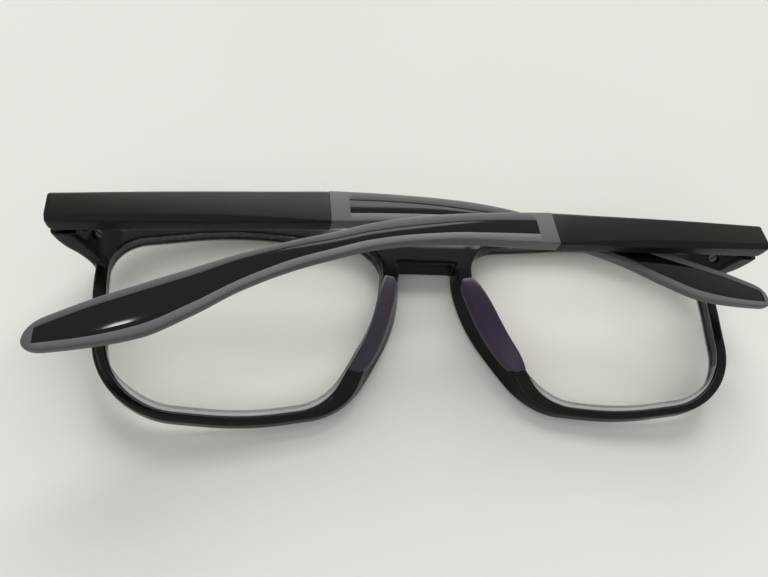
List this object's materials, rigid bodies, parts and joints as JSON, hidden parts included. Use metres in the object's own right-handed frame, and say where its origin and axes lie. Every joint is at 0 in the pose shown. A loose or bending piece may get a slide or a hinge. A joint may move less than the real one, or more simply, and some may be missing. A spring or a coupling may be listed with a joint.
{
  "type": "folding eyeglasses",
  "caption": "Square full-rim black plastic glasses with clear lenses, soft nose pads and folding temples that end in grey soft-touch sleeves.",
  "frame": {"origin": "middle of the bridge, on the flat front face that the glasses rest on", "axes": "+X across the face towards the temple that folds on top, +Y from the lower rims to the brow, +Z from the front to the rear"},
  "size_m": [0.1393, 0.0432, 0.0249],
  "materials": {
    "frame_black": "moulded black plastic, semi-gloss",
    "temple_black": "moulded black plastic, satin",
    "sleeve_grey": "soft-touch grey overmould",
    "lens_clear": "clear polycarbonate with a faint coating",
    "pad_soft": "soft dark purple-grey silicone",
    "hinge_steel": "stamped steel",
    "screw_steel": "turned steel"
  },
  "bodies": {
    "front": {"front_frame": "frame_black", "left_lens": "lens_clear", "right_lens": "lens_clear", "left_nose_pad": "pad_soft", "right_nose_pad": "pad_soft", "left_front_hinge_leaf": "hinge_steel", "right_front_hinge_leaf": "hinge_steel", "front_leaf_screws": "screw_steel", "left_hinge_screw": "screw_steel", "right_hinge_screw": "screw_steel"},
    "left_temple": {"left_temple_core": "temple_black", "left_temple_sleeve": "sleeve_grey", "left_temple_hinge_leaf": "hinge_steel", "left_temple_leaf_screws": "screw_steel"},
    "right_temple": {"right_temple_core": "temple_black", "right_temple_sleeve": "sleeve_grey", "right_temple_hinge_leaf": "hinge_steel", "right_temple_leaf_screws": "screw_steel"}
  },
  "joints": [
    {"name": "left_temple_fold", "type": "hinge", "parent": "front", "child": "left_temple", "pos_m": [-0.06755, -0.0043, 0.0175], "axis": [0.0523, -0.9986, 0], "range_deg": [0, 94.5]},
    {"name": "right_temple_fold", "type": "hinge", "parent": "front", "child": "right_temple", "pos_m": [0.06755, -0.0043, 0.0175], "axis": [-0.0523, 0.9986, 0], "range_deg": [0, 90.8]}
  ]
}
